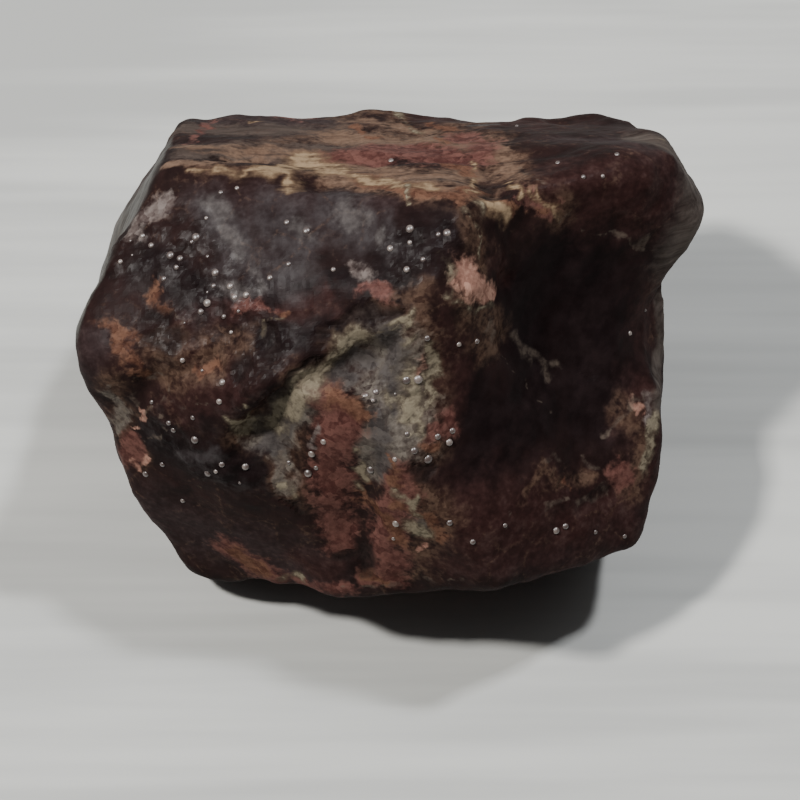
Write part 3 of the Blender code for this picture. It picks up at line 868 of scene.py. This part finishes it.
def makeGarnetFinish():
    material, graph, place = newMaterial("garnetStone")
    place = graph.scaled(place, 1 / mm)
    cover, bumps, chips = garnetFinish["cover"], garnetFinish["bumps"], garnetFinish["chips"]

    def field(name):
        return graph.node("ShaderNodeAttribute", {"attribute_name": name}, None, "Fac")

    def cloud(name):
        stretch, *size = garnetFinish["clouds"][name]
        return graph.cloud(graph.stretched(place, stretch), *size)

    def drawnLines(name):
        along, alongShare, across, acrossShare, size = garnetFinish["lines"][name]
        flat = graph.combined(graph.dot(place, along) * alongShare,
                              graph.dot(place, across) * acrossShare, 0.0)
        return graph.cloud(flat, *size)

    broad, medium, small, speck = cloud("broad"), cloud("medium"), cloud("small"), cloud("speck")
    level, downhill = cloud("level"), cloud("downhill")
    shift = graph.node("ShaderNodeTexNoise", None, {"Vector": place, "Scale": chips["shiftPerMm"]}, "Color")
    shifted = graph.vectors("ADD", place, graph.scaled(shift, chips["shift"]))
    crumb = graph.chips(shifted, chips["crumbPerMm"])
    grain = graph.chips(shifted, chips["grainPerMm"])
    soft = (broad - 0.5) * 1.2 + (medium - 0.5) * 1.1 + (small - 0.5) * 0.3
    ragged = (medium - 0.5) * 1.5 + (small - 0.5) * 1.1 + (crumb - 0.5) * 0.25 + (grain - 0.5) * 0.1
    mottle = medium * 0.5 + small * 0.5
    grainy = crumb * 0.35 + grain * 0.15 + small * 0.5

    def wash(name):
        return graph.step(field(name) + soft, *garnetFinish["washEdge"])

    def patch(name):
        return graph.step(field(name) + ragged, *garnetFinish["plainEdge"])

    def ownEdge(name, values):
        return graph.step(values, *garnetFinish["edges"][name])

    def softPatch(name):
        return ownEdge(name, field(name) + ragged)

    def tones(name, share):
        return graph.mix(graph.step(share, 0.25, 0.75), *garnetFinish["tones"][name])

    color = tones("body", broad * 0.5 + medium * 0.5)

    def lay(amount, layer, share, kind=None):  # the next layer of mineral, painted shade or painted sheen, over what is there
        nonlocal color
        color = graph.mix(amount * cover[layer], color, tones(kind or layer, share))

    maroon, mauve, sheen, striped = wash("maroon"), wash("mauve"), wash("sheen"), patch("striped")
    # painted shade in the hollows, the cleft and the recesses
    lay(wash("hollowShade"), "hollowShade", medium)
    lay(mauve, "mauve", mottle)
    lay(maroon, "maroon", mottle)

    # bare: away from the painted shade of the hollows
    bare = 1 - graph.step(field("hollowShade"), -0.5, 0.2)
    dusty = graph.step(small * 0.35 + medium * 0.65, 0.48, 0.72)
    lay(dusty * graph.larger(maroon, mauve) * bare, "dust", small)
    flecks = graph.step(crumb * 0.4 + small * 0.6, 0.60, 0.70) * graph.step(broad, 0.46, 0.64)
    lay(flecks * bare * (1 - mauve), "flecks", grain, "tan")
    glassy = graph.step(field("beady") + soft, -0.5, 0.6)
    blobs = graph.step(graph.roundedCells(shifted, garnetFinish["blobsPerMm"], 0.3), 0.1, 0.6)
    lay(glassy * (1 - blobs), "glassy", mottle, "slateAndShade")

    lay(wash("tan") * graph.step(mottle, 0.28, 0.55), "tan", grainy)
    # growth stripes, their grey partly a painted reflection
    lay(striped, "striped", level)
    brownLines = graph.step(level + (medium - 0.5) * 0.5, 0.2, 0.45)
    lay(softPatch("brown") * brownLines, "brown", level * 0.6 + small * 0.4)
    # painted reflection of the left lamp on the front-left face, over the real coat gloss
    lay(sheen, "sheen", downhill * 0.3 + medium * 0.5 + small * 0.2)

    hidden = graph.step(field("hidden"), 0.0, 1.0)
    blotches = cloud("blotches")
    lay(hidden * graph.step(blotches, 0.55, 0.66), "blotches", grainy, "tan")
    lay(hidden * (1 - graph.step(blotches, 0.34, 0.42)), "blotches", grainy, "red")
    cracks = graph.cells(shifted, garnetFinish["cracksPerMm"], "DISTANCE_TO_EDGE")
    seams = (1 - graph.step(cracks, 0.0, 0.05)) * graph.step(broad * 0.5 + small * 0.5, 0.46, 0.62)
    lay(seams * bare, "seams", grain, "tan")

    # painted highlights in the sheen
    lay(softPatch("sheenHighlight"), "sheenHighlight", mottle)
    for name in ("pale", "red", "sheet", "orange", "pink", "pearl", "thread"):
        lay(softPatch(name), name, grainy)
    band = field("straw") + (level - 0.5) * 2.0 + (medium - 0.5) * 1.2 + (small - 0.5) * 0.4
    strawTone = level * 0.3 + small * 0.3 + graph.step(band, -0.6, 1.0) * 0.4
    lay(ownEdge("straw", band), "straw", strawTone)
    creamCore = graph.step(field("cream") + ragged, -0.4, 0.8)
    lay(softPatch("cream"), "cream", grainy * 0.5 + creamCore * 0.45)
    # dark stone, and painted shade in the cleft, the slot and the pits
    lay(patch("slateAndShade"), "slateAndShade", mottle)

    # the polished crest: real coat gloss, with grey lines that are partly painted reflection
    polish = graph.step(field("polished") + (small - 0.5) * 0.1, 0.80, 0.94) \
        * graph.step(field("crest") + (medium - 0.5) * 0.6, -0.2, 0.6)
    lay(polish, "crest", drawnLines("crest"))
    lay(ownEdge("rimLines", field("rimLines") + (medium - 0.5) * 1.6), "rimLines", drawnLines("rimLines"))
    color = graph.scaled(color, 0.76 + medium * 0.16 + small * 0.22 + speck * 0.1)

    strawPatch = graph.step(field("straw"), *garnetFinish["edges"]["cream"])
    pale = graph.larger(softPatch("cream"), strawPatch)
    mineral = graph.larger(pale, graph.larger(patch("orange"), striped))
    lumpy = graph.larger(mineral, graph.larger(patch("red"), patch("brown")))
    wet = glassy * graph.step(mottle, 0.44, 0.6) * (1 - mineral)
    rough = garnetFinish["rough"] + (medium - 0.5) * 0.25 + mineral * 0.2 - polish * 0.1
    gloss = garnetFinish["gloss"] + sheen * 0.03 + (1 - mineral) * 0.02 + polish * 0.5 + wet * 0.12
    height = (medium - 0.5) * (bumps["medium"] + lumpy * bumps["mediumLumpy"])
    height = height + (small - 0.5) * (bumps["small"] + lumpy * bumps["smallLumpy"])
    height = height + (speck - 0.5) * bumps["speck"] * (1 + 2 * mineral)
    height = height + crumb * bumps["crumb"] * (0.2 + mineral)
    height = height + (downhill - 0.5) * bumps["sheen"] * sheen
    bump = graph.node("ShaderNodeBump", None, {"Strength": 1.0, "Distance": mm, "Height": height})
    return finishWith(material, graph, {
        "Base Color": color, "Roughness": rough, "Coat Weight": gloss, "Normal": bump,
        "IOR": garnetFinish["ior"], "Coat Roughness": garnetFinish["coatRough"],
        "Coat IOR": garnetFinish["coatIor"],
    })


beadShape = {
    "Size": 0.84,  # of the marked beads, against the radius given for each
    "Flatness": 0.6,  # height as a share of the width
    "Lean": 0.4,  # how far the beads turn from the skin towards the light
    "Stray Density": 0.22,  # beads on a square millimetre of the beaded parts
    "Stray Smallest": 0.05,  # mm, radius
    "Stray Largest": 0.14,
    "Seed": 7,
}
glintWay = (-0.22, -0.28, 0.935)  # halfway between the left lamp and the camera

frontBeads = {  # places in the image, pixels, with the radius in mm
    "shoulder": [(195, 238, 0.26), (150, 245, 0.18), (142, 237, 0.16), (172, 254, 0.24), (180, 257, 0.20),
                 (176, 268, 0.16), (163, 278, 0.17), (215, 272, 0.24), (205, 218, 0.12), (238, 187, 0.14),
                 (222, 193, 0.15)],
    "brow": [(207, 303, 0.24), (201, 311, 0.20), (247, 295, 0.20), (231, 287, 0.20), (236, 296, 0.18),
             (268, 278, 0.18), (287, 265, 0.16), (308, 231, 0.24), (288, 222, 0.18), (225, 316, 0.15)],
    "neck": [(411, 228, 0.24), (446, 233, 0.24), (438, 236, 0.16), (392, 250, 0.20), (408, 270, 0.20),
             (421, 260, 0.16), (392, 161, 0.17), (333, 271, 0.15), (410, 244, 0.15)],
    "lobe": [(518, 126, 0.12), (559, 163, 0.15), (585, 176, 0.15), (602, 177, 0.13), (616, 155, 0.15),
             (630, 332, 0.15), (645, 310, 0.10)],
    "heart": [(365, 395, 0.24), (375, 392, 0.20), (408, 381, 0.24), (417, 381, 0.26), (427, 338, 0.17),
              (459, 343, 0.15), (477, 340, 0.16), (437, 435, 0.19), (448, 443, 0.22), (451, 432, 0.19),
              (427, 460, 0.27), (415, 450, 0.22), (371, 470, 0.24), (324, 441, 0.18), (395, 459, 0.15)],
    "lowLobe": [(195, 440, 0.24), (174, 430, 0.17), (192, 418, 0.15), (163, 464, 0.17), (145, 474, 0.20),
                (207, 473, 0.22), (222, 464, 0.18), (244, 467, 0.22), (183, 501, 0.15), (310, 453, 0.22),
                (308, 472, 0.24), (315, 468, 0.15), (220, 402, 0.18), (223, 381, 0.20)],
    "foot": [(396, 524, 0.22), (450, 522, 0.18), (471, 541, 0.17), (394, 539, 0.12), (557, 530, 0.22),
             (564, 527, 0.19), (595, 532, 0.14), (624, 536, 0.14), (505, 527, 0.14)],
}


def markBeads(skin, camera):  # each bead's radius is kept on the nearest point of the skin
    tree = BVHTree.FromObject(skin, bpy.context.evaluated_depsgraph_get())
    places = meshPlaces(skin.data)
    radii = np.zeros(len(places))
    for group in frontBeads.values():
        for across, down, radius in group:
            spot = seenPlace(tree, camera, (across, down))
            radii[np.argmin(((places - spot) ** 2).sum(axis=1))] = radius * mm
    writeField(skin.data, "beadRadius", radii)


def makeBeadTree(material):
    graph, skin, size = openTree("glassyBeads", beadShape)

    def beads(points, chosen, way, radius):
        flat = graph.combined(1.0, 1.0, size["Flatness"])
        leaning = graph.vectors("ADD", graph.scaled(way, 1 - size["Lean"]),
                                graph.scaled(glintWay, size["Lean"]))
        turn = graph.node("FunctionNodeAlignRotationToVector", {"axis": "Z"}, {"Vector": leaning})
        ball = graph.node("GeometryNodeMeshIcoSphere", None, {"Radius": 1.0, "Subdivisions": 3})
        return graph.node("GeometryNodeInstanceOnPoints", None,
                          {"Points": points, "Selection": chosen, "Instance": ball, "Rotation": turn,
                           "Scale": graph.scaled(flat, radius)})

    radius = graph.onPoints("beadRadius")
    marked = graph.node("FunctionNodeCompare", {"data_type": "FLOAT", "operation": "GREATER_THAN"},
                        {0: radius, 1: 0.0})
    placed = beads(skin, marked, graph.node("GeometryNodeInputNormal"), radius * size["Size"])
    beady = graph.step(graph.onPoints("beady"), -0.1, 0.5)
    scatter = graph.node("GeometryNodeDistributePointsOnFaces", {"distribute_method": "RANDOM"},
                         {"Mesh": skin, "Seed": size["Seed"],
                          "Density": size["Stray Density"] * (1 / mm ** 2) * beady})
    strayWay = Wire(graph, scatter.socket.node.outputs["Normal"])
    strayRadius = graph.node("FunctionNodeRandomValue", {"data_type": "FLOAT"},
                             {2: size["Stray Smallest"] * mm, 3: size["Stray Largest"] * mm,
                              "Seed": size["Seed"]}, 1)
    stray = beads(scatter, True, strayWay, strayRadius)
    both = graph.tree.nodes.new("GeometryNodeJoinGeometry")
    for shape in (placed, stray):
        graph.tree.links.new(shape.socket, both.inputs[0])
    return closeTree(graph, Wire(graph, both.outputs[0]), material)


beadFinish = {
    "dark": (0.085, 0.060, 0.053, 1),
    "pale": (0.21, 0.17, 0.15, 1),
    "patchesPerMm": 1.2,
    "rough": 0.30,
    "roughSpread": 0.12,
    "roughPerMm": 8.0,
    "ior": 2.1,
}


def makeBeadFinish():
    material, graph, place = newMaterial("garnetGlass")
    place = graph.scaled(place, 1 / mm)
    pale = graph.step(graph.cloud(place, beadFinish["patchesPerMm"]), 0.45, 0.6)
    color = graph.mix(pale, beadFinish["dark"], beadFinish["pale"])
    rough = beadFinish["rough"] + graph.cloud(place, beadFinish["roughPerMm"]) * beadFinish["roughSpread"]
    return finishWith(material, graph, {"Base Color": color, "Roughness": rough, "IOR": beadFinish["ior"]})


def makeBeads(skin):
    beads = bpy.data.objects.new("garnetBeads", skin.data.copy())
    bpy.context.scene.collection.objects.link(beads)
    bakeTree(beads, makeBeadTree(makeBeadFinish()), beadShape)
    return beads


camera = makeCamera()
makeFloor()
makeSky()
makeLamps()
print("studio ready")

skin = makeSkin(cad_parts["garnet_crystal"])
paintPatches(skin, camera)
print("skin painted", len(skin.data.polygons))
carveRelief(skin, makeGarnetFinish())
print("relief carved")
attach(skin, "root")
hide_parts("garnet_crystal")

markBeads(skin, camera)
beads = makeBeads(skin)
print("beads set", len(beads.data.polygons))
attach(beads, "root")
